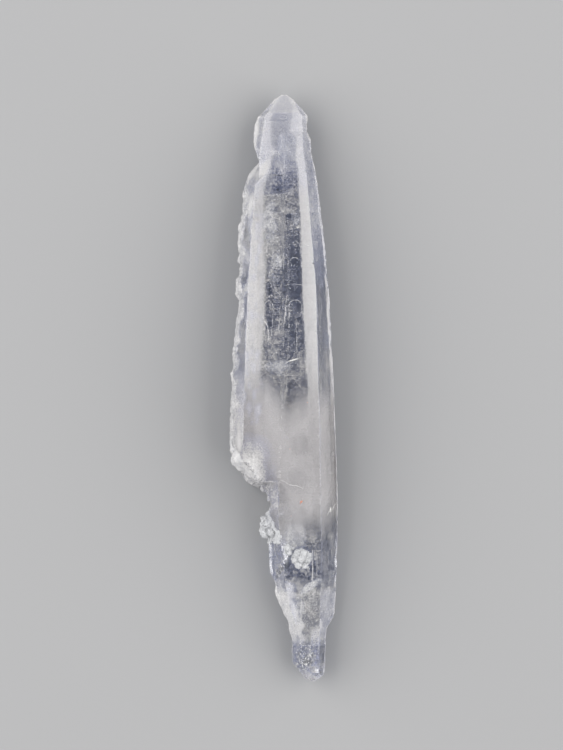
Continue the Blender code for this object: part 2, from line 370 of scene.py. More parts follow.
net = netted(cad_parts["quartz_point"])
sink_relief(net)
skin_net = net.copy()
crystal = quartz_piece(net, "crystal_faces", 24, clear_quartz())
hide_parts("quartz_point")


# --- Frosted faces --------------------------------------------------------------------------------
# Fine striation and etching under the gloss turn some faces white: the slanting faces at the back,
# the tip, the chipped rim, the broken end and every worn edge. It lies just under the outer faces.

FROST_DEPTH = 0.035
# How frosted the back faces are beside the clear window.
BAND_FROST = 0.86
# The clear window's left and right borders at the back face, as (Y, X) in millimetres.
WINDOW_LEFT = [
    (47.0, -2.4), (38.2, -2.3), (36.6, -2.7), (34.0, -3.4), (32.0, -3.57), (23.4, -3.5),
    (19.2, -3.3), (14.1, -3.4), (8.8, -3.6), (4.6, -4.0), (1.3, -4.2), (-30.0, -4.3),
]
WINDOW_RIGHT = [
    (46.0, 2.3), (38.2, 2.35), (34.0, 2.6), (29.7, 3.05), (24.5, 3.05), (19.2, 3.2),
    (12.1, 3.55), (5.6, 3.8), (-0.7, 4.1), (-30.0, 4.6),
]
# How cloudy the window is down its left and right halves, as (Y, frost).
CLOUD_LEFT = [
    (46.0, 0.37), (39.0, 0.37), (36.0, 0.26), (34.0, 0.22), (31.0, 0.38), (24.5, 0.35), (20.0, 0.22),
    (14.0, 0.17), (6.5, 0.19), (4.0, 0.30), (0.0, 0.27), (-6.0, 0.42), (-20.0, 0.30), (-25.0, 0.12),
    (-33.0, 0.10), (-35.0, 0.40), (-42.0, 0.40), (-44.5, -0.15), (-50.0, -0.15),
]
CLOUD_RIGHT = [
    (46.0, 0.37), (39.0, 0.37), (36.0, 0.22), (30.0, 0.20), (26.0, 0.09), (22.0, -0.01), (17.5, 0.0),
    (14.0, 0.09), (6.5, 0.11), (4.0, 0.22), (0.0, 0.25), (-6.0, 0.36), (-20.0, 0.30), (-24.0, 0.18),
    (-32.0, 0.20), (-35.0, 0.42), (-41.0, 0.45), (-43.0, 0.25), (-45.0, -0.15), (-50.0, -0.15),
]
# Clear (below 0) and cloudy (above 0) patches near the base: (X, Y, half width, half length, change).
BASE_PATCHES = [
    (-1.1, -29.3, 1.1, 3.0, -0.24), (0.7, -30.6, 0.9, 2.2, -0.15), (3.2, -33.4, 0.8, 0.8, -0.14),
    (4.9, -29.0, 0.5, 3.2, -0.12), (2.2, -26.0, 2.4, 1.4, -0.06), (4.5, -36.0, 2.4, 2.0, -0.05),
    (-0.4, -36.4, 1.4, 4.0, 0.50), (0.6, -40.0, 1.1, 2.2, 0.45), (1.9, -34.9, 1.5, 0.5, 0.30),
    (3.6, -42.6, 2.0, 0.8, 0.20), (3.6, -46.0, 1.9, 2.4, -0.10), (4.2, -38.8, 1.3, 1.8, -0.08),
]
# Hazy patches of the front faces and one clear leaf: X, Y, half width, half length, lean to the right.
SHOULDER_HAZE = (-3.5, 36.8, 0.95, 2.9, 28)
TIP_HAZE = (2.5, 38.9, 0.8, 5.2, -9)
DARK_LEAF = (-0.95, -31.2, 0.6, 1.8, 34)


def corners_of(bm):
    """Each face corner's place, facing, distance from a worn edge, roughness and etching, as arrays."""
    layers = [bm.verts.layers.float[name] for name in ("edge_distance", "rough", "etched")]
    rows = [
        (*loop.vert.co, *face.normal, *(loop.vert[layer] for layer in layers))
        for face in bm.faces
        for loop in face.loops
    ]
    names = ("x", "y", "z", "nx", "ny", "nz", "edge_at", "rough", "etched")
    return SimpleNamespace(**dict(zip(names, np.array(rows).T)))


def drifting(at, *swings):
    """Slow noise over the corners, with this many swings to the millimetre along X, Y and Z."""
    spots = zip(at.x * swings[0], at.y * swings[1], at.z * swings[2])
    return np.array([noise.noise(Vector(spot)) for spot in spots])


def patch_of(at, patch):
    """1 inside a leaning oval patch, 0 outside it."""
    x, y, half_width, half_length, lean = *patch[:4], math.radians(patch[4])
    across = (at.x - x) * math.cos(lean) - (at.y - y) * math.sin(lean)
    up = (at.x - x) * math.sin(lean) + (at.y - y) * math.cos(lean)
    return ramp(np.hypot(across / half_width, up / half_length), 1.25, 0.5)


def window_frost(at):
    """The flat back face: as frosted as the bands at its sides, with the clear window between them."""
    window = ramp(at.x, along(WINDOW_LEFT, at.y) - 0.2, along(WINDOW_LEFT, at.y) + 0.5)
    window *= ramp(at.x, along(WINDOW_RIGHT, at.y) + 0.2, along(WINDOW_RIGHT, at.y) - 0.3)
    window = np.maximum(window, ramp(at.y, -18.0, -24.0))
    right_half = ramp(at.x, -0.9, 0.5)
    cloud = along(CLOUD_LEFT, at.y) * (1 - right_half) + along(CLOUD_RIGHT, at.y) * right_half
    for x, y, half_width, half_length, change in BASE_PATCHES:
        away = np.hypot((at.x - x) / half_width, (at.y - y) / half_length)
        cloud = cloud + change * ramp(away, 1.25, 0.6)
    return BAND_FROST - (BAND_FROST - np.clip(cloud, -0.2, 1.0)) * window


def band_frost(at, drift, streak):
    """The slanting back faces, which show as the white bands: streaked, and clear near the base."""
    band = BAND_FROST - 0.35 * np.clip(drift - 0.12, 0.0, 0.5)
    band -= 0.65 * np.clip(streak, 0.0, 0.6) * (at.nx < 0) * (at.y > -4.0)
    band *= 1 - 0.75 * (np.abs(at.ny) > 0.3) * (at.y < -12.0)
    band *= 1 - 0.45 * (at.y > 35.0) * (at.z > 4.5)
    band *= 1 - 0.3 * ramp(at.y, 41.5, 43.5) * (at.x > 0)
    low_side = np.where(at.nx < 0, 0.66, 0.42) * ramp(at.y, -32.0, -35.0) * ramp(at.y, -44.0, -41.0)
    least = np.maximum(low_side, np.where(at.x < 2.0, 0.03, 0.08))
    return np.maximum(band * ramp(at.y, -27.5, -21.0), least)


def front_frost(at, streak, broken_end, cream):
    """The flat front face: hazy near the tip, the broken end and the base, and thinly streaked."""
    streaks = 0.5 * np.clip(streak - 0.1, 0.0, 0.5) * ramp(at.x, -3.4, -4.2)
    parts = [
        0.20 * ramp(at.y, 31.0, 40.0),
        0.28 * ramp(at.y, 37.5, 41.0) * ramp(at.x, 2.1, 2.5),
        0.80 * broken_end,
        0.42 * cream * ramp(at.x, 2.4, 0.2),
        streaks * (at.y > -6.0) * (at.y < 34.0),
    ]
    return np.maximum.reduce(parts)


def flank_haze(at, drift, cream):
    """The slanting front faces: a thin haze, thicker on the left one and near the tip and the base."""
    right = 0.01 + 0.22 * ramp(at.y, 16.0, 30.0)
    right += 0.10 * np.clip(drift, -0.5, 1.0) * ramp(at.y, 4.0, 12.0)
    right += 0.20 * ramp(at.y, -33.0, -36.0) * ramp(at.y, -43.0, -41.0) - 0.06 * ramp(at.y, -22.0, -26.0)
    left = 0.10 + 0.24 * ramp(at.y, 28.0, 34.0) + 0.9 * np.clip(drift - 0.08, -0.1, 1.0)
    left += 0.35 * ramp(at.y, 7.0, -7.0)
    left -= 0.28 * ramp(at.y, -13.5, -16.0) * ramp(at.x, -6.5, -4.5)
    left = np.where(at.y > -20.0, left, 0.04 + 0.52 * cream)
    return np.clip(np.where(at.nx > 0, right, left), 0.0, 0.95)


def edge_frost(at, on_step):
    """The worn edges: whitest low on the sides, and hardly seen on the front."""
    shoulder = (at.y > 30.0) * (at.y < 38.0) * (at.z > 6.0) * (at.x < 0.5) * (at.x > -4.4)
    facing = ramp(np.abs(at.nz), 0.97, 0.7) * (1 - shoulder) * (1 - on_step)
    low, high = np.where(at.y > -23.0, 0.85, 0.5), np.where(at.y > -20.0, 0.3, 0.1)
    return np.where(at.z < 8.0 - np.abs(at.y) * 0.06, low, high) * ramp(at.edge_at, 0.26, 0.02) * facing


def frost_of(bm):
    """How frosted each corner of each face is, by the face's way and its place, and how broken up."""
    at = corners_of(bm)
    back, front = at.nz < -0.9, at.nz > 0.9
    sideways = np.abs(at.nx) > 0.4
    back_flank, front_flank = (at.nz < -0.25) * sideways, (at.nz > 0.25) * sideways
    tip = (at.ny > 0.35) * (at.y > 40)
    drift, streak = drifting(at, 0.5, 0.30, 0.4), drifting(at, 2.2, 0.45, 2.2)
    broken_end = ramp(at.y, -7.0, -14.0) * ramp(at.x, -2.0, -5.5) * ramp(at.y, -20.0, -17.0)
    cream = ramp(at.y, -32.5, -35.5) * ramp(at.y, -43.5, -41.0)
    on_step = (np.abs(at.x - along(STEP_LINE, at.y)) < 0.35) * (at.z > 7.0) * (at.y > -17.5)
    patches = np.maximum(0.40 * patch_of(at, SHOULDER_HAZE), 0.30 * patch_of(at, TIP_HAZE))
    parts = [
        back_flank * band_frost(at, drift, streak),
        back * window_frost(at),
        tip * np.where(at.nz > 0.5, 0.34, np.where(at.nz < -0.2, 0.32, 0.24)),
        front * front_frost(at, streak, broken_end, cream),
        front_flank * flank_haze(at, drift, cream) * (1 - on_step),
        edge_frost(at, on_step),
        (at.nz > 0.3) * patches,
    ]
    frost = np.maximum.reduce(parts) * (1 - 0.95 * patch_of(at, DARK_LEAF))
    deep = np.clip(2 * at.etched - 1, 0.0, 1.0)
    in_scar = (at.y < -15.0) * (at.y > -21.5) * (at.x < 0)
    grained = np.where(in_scar, 0.42, np.where(at.y > -8.0, 0.62, 0.9)) * at.rough
    frost = np.maximum.reduce([frost, 0.05 * deep, grained])
    on_flank = 0.45 + 0.7 * (at.y < -25.0) * (at.nx < 0)
    ragged = np.where(front, 0.25 + 0.9 * broken_end, np.where(at.nz > 0.25, on_flank, 1.0))
    ragged += np.where(at.nx < 0, 0.5, -0.4) * back_flank * (at.y > -22.0) + 0.5 * at.etched + 1.8 * deep
    ragged = np.where(tip, 0.15, ragged - 0.4 * (at.y > 37.0) * (at.nz < 0)) + 0.7 * (at.rough > 0.2)
    return frost, ragged


def frost_skin(bm):
    """Moves the same relief in by the frost's depth, and leaves out what isn't frosted."""
    frost, ragged = frost_of(bm)
    masks = [bm.loops.layers.float.new(name) for name in ("frost", "ragged")]
    i = 0
    bare = []
    for face in bm.faces:
        most = 0.0
        for loop in face.loops:
            loop[masks[0]], loop[masks[1]] = frost[i], ragged[i]
            most = max(most, frost[i])
            i += 1
        if most < 0.02 and face.normal.z > -0.9:
            bare.append(face)
    bm.normal_update()
    for vert in bm.verts:
        vert.co -= vert.normal * FROST_DEPTH
    bmesh.ops.delete(bm, geom=bare, context="FACES")


def clouding_group():
    """How dense quartz's white is: an amount, broken up by grain, clouds, growth lines and blocks; also
    where pits are painted dark and where painted shade falls.
    """
    group, start, end = node_group(
        "quartz clouding",
        ("Amount", "Ragged", "Grain", "Cloud", "Lines", "Blocks", "Cracks"),
        ("Density", "Painted pit shade", "Shade"),
    )
    link, calc = group.links.new, partial(math_of, group)
    place, amount = start.outputs["Place"], start.outputs["Amount"]
    bent = node(group, "TexNoise", inputs={"Scale": 900.0, "Detail": 3.0})
    shift = node(group, "VectorMath", operation="SCALE", inputs={"Scale": 0.0009})
    moved = node(group, "VectorMath", operation="ADD")
    link(place, bent.inputs["Vector"])
    link(bent.outputs["Color"], shift.inputs[0])
    link(place, moved.inputs[0])
    link(shift.outputs[0], moved.inputs[1])
    wide = node(group, "Mapping", inputs={"Scale": (430.0, 240.0, 430.0)})
    cells = node(group, "TexVoronoi", distance="CHEBYCHEV", inputs={"Scale": 1.0, "Detail": 1.0})
    tone = node(group, "SeparateColor")
    link(moved.outputs[0], wide.inputs["Vector"])
    link(wide.outputs[0], cells.inputs["Vector"])
    link(cells.outputs["Color"], tone.inputs[0])
    patterns = {
        "Grain": noise_of(group, place, (5200.0, 4400.0, 5200.0), 2.0, 0.6),
        "Cloud": noise_of(group, place, (620.0, 430.0, 620.0), 6.0, 0.68),
        "Lines": noise_of(group, place, (240.0, 3600.0, 240.0), 2.0),
        "Blocks": tone.outputs[0],
    }
    uneven = 0.0
    for name, pattern in patterns.items():
        part = calc("MULTIPLY", calc("SUBTRACT", pattern, 0.5), start.outputs[name])
        uneven = calc("ADD", part, uneven)
    open_share = calc("SUBTRACT", 1.0, calc("MULTIPLY", amount, 0.9))
    open_share = calc("MULTIPLY", open_share, start.outputs["Ragged"])
    any_white = calc("MINIMUM", calc("MULTIPLY_ADD", amount, 3.0, 0.5), 1.0)
    open_share = calc("MULTIPLY", open_share, any_white)
    uneven = calc("MULTIPLY", uneven, open_share)
    cracks = 0.0
    for size, sharpness, share in ((430.0, 19.0, 1.0), (1900.0, 5.5, 0.7)):
        lines = node(group, "TexVoronoi", feature="DISTANCE_TO_EDGE", inputs={"Scale": size})
        link(moved.outputs[0], lines.inputs["Vector"])
        thin = calc("MULTIPLY", lines.outputs["Distance"], sharpness)
        thin = calc("MULTIPLY", calc("SUBTRACT", 1.0, thin, clamp=True), share)
        cracks = calc("ADD", thin, cracks)
    above = calc("SUBTRACT", patterns["Cloud"], 0.44)
    patchy = calc("MULTIPLY", above, 6.0, clamp=True)
    cracks = calc("MULTIPLY", calc("MULTIPLY", cracks, patchy), start.outputs["Cracks"])
    cracks = calc("MULTIPLY", cracks, open_share)
    present = calc("MULTIPLY", calc("ADD", amount, 0.3), 4.0, clamp=True)
    filled = calc("ADD", calc("ADD", amount, uneven), cracks, clamp=True)
    dense = calc("MULTIPLY", filled, present)
    link(dense, end.inputs["Density"])
    # Spots where etched pits are painted dark, as painted shade.
    spots = noise_of(group, place, (1500.0, 1300.0, 1500.0), 3.0, 0.6)
    spots = calc("MULTIPLY", calc("SUBTRACT", spots, 0.42), 8.0, clamp=True)
    link(spots, end.inputs["Painted pit shade"])
    # Painted shade: darker where the cloud is thin, more so where the frost is ragged.
    shade = calc("MULTIPLY", calc("SUBTRACT", 0.52, patterns["Cloud"]), 3.4, clamp=True)
    link(calc("MULTIPLY", shade, start.outputs["Ragged"]), end.inputs["Shade"])
    return group


# The colour of the painted shade between white patches, and the near-black painted into etched pits as
# painted shade.
SHADE = (0.56, 0.59, 0.67, 1.0)
PAINTED_PIT_SHADE = (0.10, 0.105, 0.125, 1.0)


def clouded(name, thin_colour, dense_colour, mask, ragged=None, painted_pit_mask=None, **patterns):
    """A white quartz material whose density follows a mask on the piece, with painted shade and pits
    painted dark by another.
    """
    material, tree, shader = new_material(name, {"Roughness": 0.7, "Specular IOR Level": 0.2})
    link, calc = tree.links.new, partial(math_of, tree)
    body = node(tree, "Group", node_tree=clouding, inputs={"Ragged": 1.0, **patterns})
    link(node(tree, "TexCoord").outputs["Object"], body.inputs["Place"])
    for socket, attribute in (("Amount", mask), ("Ragged", ragged)):
        if attribute:
            share = node(tree, "Attribute", attribute_name=attribute).outputs["Fac"]
            link(share, body.inputs[socket])
    cover = body.outputs["Density"]
    colour = mixed(tree, calc("MULTIPLY", cover, 2.45, clamp=True), thin_colour, dense_colour)
    # Painted shade: thin places are darkened towards the shade colour, and pits are painted dark and
    # nearly opaque.
    if painted_pit_mask:
        etching = node(tree, "Attribute", attribute_name=painted_pit_mask).outputs["Fac"]
        pits = calc("MULTIPLY", body.outputs["Painted pit shade"], etching)
        colour = mixed(tree, calc("MULTIPLY", body.outputs["Shade"], 0.30), colour, SHADE)
        colour = mixed(tree, pits, colour, PAINTED_PIT_SHADE)
        cover = calc("MAXIMUM", cover, calc("MULTIPLY", pits, 0.9))
    link(cover, shader.inputs["Alpha"])
    link(colour, shader.inputs["Base Color"])
    return material


clouding = clouding_group()
frost_skin(skin_net)
# The frosted faces' etched places get pits painted dark, and their thin places painted shade.
quartz_piece(skin_net, "frosted_faces", 24, clouded(
    "frosted quartz", (0.46, 0.53, 0.92, 1.0), (0.90, 0.885, 0.88, 1.0), "frost", "ragged", "etched",
    Grain=2.0, Cloud=0.62, Lines=0.5, Blocks=0.28, Cracks=0.32,
))


# --- Milky zone -----------------------------------------------------------------------------------
# Milk-white quartz sealed in the middle of the prism, where the crystal grew fast and trapped fine
# bubbles. It is four growth shells, one in another, that thin out towards the tip and the base.

# The zone's outline as (Y, left, right, top), in millimetres, from the tip's side to the base's.
MILK_OUTLINE = [
    (3.0, -8.1, 7.4, 11.6), (-3.0, -8.2, 7.6, 11.5), (-8.0, -8.2, 7.8, 11.3), (-13.0, -6.9, 7.9, 10.9),
    (-17.0, -3.1, 8.0, 10.5), (-22.0, -2.0, 8.0, 9.9), (-27.0, -1.8, 7.9, 9.2), (-32.0, -1.2, 7.6, 8.3),
]
# Each shell: its share of that outline, and how dense it is.
MILK_SHELLS = [(0.97, 0.30), (0.80, 0.34), (0.60, 0.36), (0.38, 0.4)]
# The middles of thinner places in it, where it looks a little darker and bluer.
MILK_THIN = [(2.7, -9.6, 0), (2.2, -15.4, 0), (2.6, -21.8, 0)]


def close_tube(bm, rings):
    """Faces from each ring of vertices to the next, and one across each end."""
    for near_ring, far_ring in zip(rings, rings[1:]):
        for i in range(len(near_ring)):
            j = (i + 1) % len(near_ring)
            bm.faces.new((near_ring[i], near_ring[j], far_ring[j], far_ring[i]))
    bm.faces.new(rings[0][::-1])
    bm.faces.new(rings[-1])


def milky_shell(bm, mask, share, density):
    """One closed hexagonal growth shell, this share of the zone's width and height."""
    levels = np.linspace(MILK_OUTLINE[0][0] * share, MILK_OUTLINE[-1][0] + 6 * (1 - share), 56)
    stations, *sides = zip(*reversed(MILK_OUTLINE))
    rings = []
    for y in levels:
        left, right, top = [np.interp(y, stations, side) for side in sides]
        across, half, mid = (left + right) / 2, (right - left) / 2 * share, top * 0.5
        flat = half - top * share * 0.29
        corners = [(-half, 0), (-flat, 0.5), (flat, 0.5), (half, 0), (flat, -0.5), (-flat, -0.5)]
        ring = []
        for (x0, z0), (x1, z1) in zip(corners, corners[1:] + corners[:1]):
            for t in np.arange(0, 1, 0.125):
                x = across + x0 + (x1 - x0) * t
                z = mid + (z0 + (z1 - z0) * t) * top * 0.96 * share
                wave = 0.25 * noise.noise(Vector((x * 0.3, y * 0.3, z * 0.3 + share * 9)))
                vert = bm.verts.new((x * (1 - 0.02 * wave), y + wave, max(0.12, z + wave)))
                edge = min(-0.2, -4.9 + (1.35 if x < 0.6 else 0.9) * abs(x - 0.6))
                start = ramp(y, edge + 3.6, edge - 4.6)
                finish = -25.0 + 0.5 * max(0.0, x - 2.0)
                finish += 2.0 * noise.noise(Vector((x * 0.6, y * 0.3, 4.0)))
                start *= ramp(y, finish - 2.5, finish + 6.5)
                drift = 1.1 * noise.noise(Vector((x * 0.7, y * 0.7, z * 0.7)))
                thin = max(near(x + drift, y - drift, 0, place, 2.6) for place in MILK_THIN)
                vert[mask] = density * start * (1 - 0.3 * thin)
                ring.append(vert)
        rings.append(ring)
    close_tube(bm, rings)


milk = bmesh.new()
milk_mask = milk.verts.layers.float.new("milk")
for share, density in MILK_SHELLS:
    milky_shell(milk, milk_mask, share, density)
bmesh.ops.recalc_face_normals(milk, faces=milk.faces)
quartz_piece(milk, "milky_zone", 180, clouded(
    "milky quartz", (0.66, 0.65, 0.66, 1.0), (0.74, 0.72, 0.725, 1.0), "milk",
    Grain=0.08, Cloud=0.3, Lines=0.08, Blocks=0.0, Cracks=0.03,
))


# --- Healed cracks and growth lines ---------------------------------------------------------------
# Old cracks that closed while the crystal grew, seen as fine white threads and lobes inside it, and thin
# lens-shaped veils of trapped bubbles beside them. A few open cracks are painted near-white: a painted
# glint for the light they flash.

# Each thread, in millimetres: its radius, its height, and its way as (X, Y), or, where it slopes and
# has no one height, as (X, Y, Z).
THREADS = [
    (0.05, 2.6, [(-3.23, 7.98), (-3.35, 10.7), (-3.4, 12.91), (-3.15, 14.1), (-2.55, 14.52),
        (-2.04, 14.1), (-1.87, 12.91), (-1.96, 10.7), (-2.21, 8.32)]),
    (0.05, 3.2, [(0.94, 11.89), (0.85, 13.76), (1.28, 14.44), (2.04, 14.69), (2.81, 14.27),
        (2.98, 13.25), (2.72, 11.72)]),
    (0.07, 4.0, [(-3.66, 12.57), (-3.4, 11.38), (-2.89, 10.36), (-2.64, 9.17), (-2.72, 7.64)]),
    (0.035, 2.2, [(1.96, 11.89), (2.07, 9.0), (2.13, 5.94)]),
    (0.06, 3.6, [(0.56, 15.29), (0.37, 13.93), (0.34, 12.57), (0.17, 10.7)]),
    (0.03, 7.0, [(-2.89, 35.61), (-1.53, 35.97), (0.0, 35.83)]),
    (0.03, 5.0, [(0.34, 26.96), (1.53, 27.14), (2.81, 26.92)]),
    (0.03, 3.0, [(-3.23, 20.29), (-2.04, 20.49), (-0.68, 20.29)]),
    (0.035, 3.4, [(0.17, 17.16), (1.53, 17.3), (3.23, 17.08)]),
    (0.03, 3.0, [(-3.74, 1.97), (-1.53, 2.26), (1.02, 2.13), (2.89, 2.26)]),
    (0.045, None, [(-4.76, 33.83, 7.6), (-4.34, 34.76, 7.7), (-3.57, 35.44, 7.7),
        (-2.72, 35.8, 7.7)]),
    (0.04, 8.5, [(3.32, 24.13), (3.83, 23.96), (4.42, 23.62)]),
    (0.075, None, [(4.81, -27.23, 8.2), (4.85, -29.95, 8.2), (4.8, -32.84, 8.0)]),
    (0.045, None, [(5.55, -27.72, 8.2), (5.56, -30.12, 8.1), (5.58, -32.82, 7.8)]),
    (0.08, None, [(6.8, -21.4, 7.4), (7.15, -20.7, 6.8), (7.4, -20.8, 6.3), (8.0, -19.9, 5.3),
        (8.3, -19.6, 4.8)]),
    (0.05, None, [(2.98, -34.2, 6.4), (2.86, -36.58, 6.4), (2.89, -38.79, 6.3),
        (2.82, -40.49, 6.2)]),
    (0.08, 9.6, [(-0.51, -15.41), (0.17, -15.75), (1.02, -16.26), (2.04, -16.38), (3.23, -16.85)]),
    (0.03, 6.2, [(-0.77, 45.9), (-0.51, 46.09), (0.0, 46.12), (0.44, 45.97), (0.41, 45.7),
        (-0.09, 45.56), (-0.6, 45.65), (-0.77, 45.86)]),
    (0.035, 6.6, [(-0.85, 40.29), (-0.92, 39.27), (-0.68, 38.25), (-0.09, 37.74)]),
    (0.04, 4.4, [(0.94, 21.41), (1.53, 21.85), (2.21, 21.79), (2.55, 21.41)]),
    (0.035, 2.6, [(-2.38, 17.5), (-1.96, 16.48), (-1.28, 15.8), (-0.85, 14.78)]),
    (0.035, 3.8, [(-0.07, 25.15), (0.05, 23.11), (-0.1, 21.41), (0.03, 19.2)]),
    (0.03, 2.2, [(-3.06, 11.21), (-2.81, 9.85), (-2.96, 8.49)]),
    (0.035, 3.2, [(1.4, 23.9), (1.9, 24.4), (2.5, 24.1), (2.9, 23.3)]),
    (0.03, 2.4, [(-3.1, 14.6), (-2.4, 15.3), (-1.5, 15.0), (-1.0, 14.2)]),
    (0.03, 4.8, [(-2.9, 31.9), (-1.6, 32.4), (-0.4, 31.9), (0.3, 31.0)]),
    (0.03, 4.2, [(-2.6, 29.6), (-2.0, 28.6), (-1.0, 28.2), (-0.3, 27.3)]),
    (0.035, 2.8, [(-1.1, 13.4), (-1.0, 11.6), (-1.2, 9.9), (-0.9, 8.4)]),
]
# Each veil: its middle, half width, half length, turns about Y, X and Z in degrees, and density.
VEILS = [
    ((-2.3, 28.0, 3.4), 1.3, 4.6, 18, 4, 0, 0.14),
    ((-1.6, 20.5, 4.2), 1.2, 3.4, -25, -6, 0, 0.10),
    ((-1.0, 3.6, 4.2), 2.6, 1.3, 10, 16, 0, 0.16),
    ((1.9, 28.4, 5.2), 0.9, 1.2, -30, 12, 0, 0.14),
    ((0.4, 40.5, 3.6), 1.7, 3.4, 12, -8, 0, 0.10),
    ((2.2, -37.5, 3.6), 1.4, 2.6, -16, 8, 0, 0.12),
    ((4.4, -33.4, 7.0), 2.3, 0.75, -8, 0, 36, 0.32),
    ((1.9, -25.0, 7.6), 2.5, 2.6, 6, -6, 0, 0.26),
]


def thread(bm, mask, radius, height, way):
    """One fine tube along a smooth curve, thinner towards its two ends."""
    points = [Vector(place if height is None else (*place, height)) for place in way]
    padded = [points[0] * 2 - points[1]] + points + [points[-1] * 2 - points[-2]]
    path = [
        0.5 * (2 * b + (c - a) * t + (2 * a - 5 * b + 4 * c - d) * t**2 + (3 * b - a - 3 * c + d) * t**3)
        for a, b, c, d in zip(padded, padded[1:], padded[2:], padded[3:])
        for t in np.arange(0, 1, 0.2)
    ]
    path.append(points[-1])
    rings = []
    for i, at in enumerate(path):
        ahead = (path[min(i + 1, len(path) - 1)] - path[max(i - 1, 0)]).normalized()
        side = ahead.cross(Vector((0, 0, 1))).normalized()
        up = side.cross(ahead)
        at = at + 0.05 * side * noise.noise(at * 2.3) + 0.15 * up * noise.noise(at * 0.9)
        swell = radius * (0.35 + 0.65 * math.sin(math.pi * (i + 0.5) / len(path)) ** 0.5)
        swell *= 1 + 0.6 * noise.noise(at * 3.7)
        ring = [
            bm.verts.new(at + swell * (math.cos(turn) * side + math.sin(turn) * up))
            for turn in (0.0, 1.257, 2.513, 3.770, 5.027)
        ]
        for vert in ring:
            vert[mask] = 0.62 + 0.6 * noise.noise(at * 1.7)
        rings.append(ring)
    close_tube(bm, rings)


def veil(bm, mask, middle, half_width, half_length, roll, pitch, yaw, density):
    """One thin closed lens with a wavy outline, densest in its middle."""
    turn = Matrix.Identity(3)
    for angle, axis in ((yaw, "Z"), (roll, "Y"), (pitch, "X")):
        turn = turn @ Matrix.Rotation(math.radians(angle), 3, axis)
    middle = Vector(middle)
    shells = []
    for side in (1, -1):
        rings = []
        for share in np.linspace(1.0, 0.0, 9)[:-1]:
            ring = []
            for turned in np.linspace(0, math.tau, 33)[:-1]:
                across, along_it = math.cos(turned), math.sin(turned)
                wavy = 1 + 0.22 * noise.noise(Vector((across, along_it, middle.y)) * 1.6)
                x, y = share * wavy * half_width * across, share * wavy * half_length * along_it
                bow = 0.35 * noise.noise(Vector((x * 0.5, y * 0.35, middle.x)))
                bow += side * 0.03 * (1 - share**2)
                vert = shells[0][len(rings)][len(ring)] if side < 0 and share == 1 else None
                if vert is None:
                    vert = bm.verts.new(middle + turn @ Vector((x, y, bow)))
                    vert[mask] = density * ramp(share, 1.0, 0.45)
                ring.append(vert)
            rings.append(ring)
        centre = bm.verts.new(middle + turn @ Vector((0, 0, side * 0.03)))
        centre[mask] = density
        for outer_ring, inner_ring in zip(rings, rings[1:]):
            for i in range(32):
                j = (i + 1) % 32
                corners = (outer_ring[i], outer_ring[j], inner_ring[j], inner_ring[i])
                bm.faces.new(corners if side > 0 else corners[::-1])
        for i in range(32):
            corners = (rings[-1][i], rings[-1][(i + 1) % 32], centre)
            bm.faces.new(corners if side > 0 else corners[::-1])
        shells.append(rings)


healed = bmesh.new()
healed_mask = healed.verts.layers.float.new("healed")
for line in THREADS:
    thread(healed, healed_mask, *line)
for lens in VEILS:
    veil(healed, healed_mask, *lens)
quartz_piece(healed, "healed_cracks", 180, clouded(
    "healed crack", (0.78, 0.81, 0.90, 1.0), (0.96, 0.95, 0.94, 1.0), "healed",
    Grain=1.2, Cloud=0.9, Lines=0.2, Blocks=0.0, Cracks=0.3,
))

# Each open crack, painted near-white as a painted glint, given as a veil is.
PAINTED_GLINT_CRACKS = [
    ((1.55, 4.72, 7.4), 1.15, 0.14, 0, 0, 17, 1.0),
    ((-5.6, -12.2, 8.6), 0.45, 0.30, 20, 30, 0, 1.0),
    ((7.2, -20.6, 6.4), 0.22, 0.55, 40, 10, 0, 1.0),
    ((-0.2, 29.7, 7.0), 0.14, 0.42, 30, 10, -20, 0.9),
    ((2.35, 26.95, 7.0), 0.34, 0.10, 0, 20, 12, 0.9),
]
painted_glint_cracks = bmesh.new()
painted_glint_mask = painted_glint_cracks.verts.layers.float.new("open")
for lens in PAINTED_GLINT_CRACKS:
    veil(painted_glint_cracks, painted_glint_mask, *lens)
quartz_piece(painted_glint_cracks, "painted_glint_cracks", 180, clouded(
    "open crack painted glint", (0.95, 0.95, 0.90, 1.0), (1.0, 0.985, 0.93, 1.0), "open",
    Grain=0.9, Cloud=0.5, Lines=0.0, Blocks=0.0, Cracks=0.3,
))


# --- Bubbles and iron specks ----------------------------------------------------------------------
# Tiny bubbles of trapped water lie in sheets inside the clear zone, thickest beside the veils. A few
# specks of rusty iron sit in the milk.


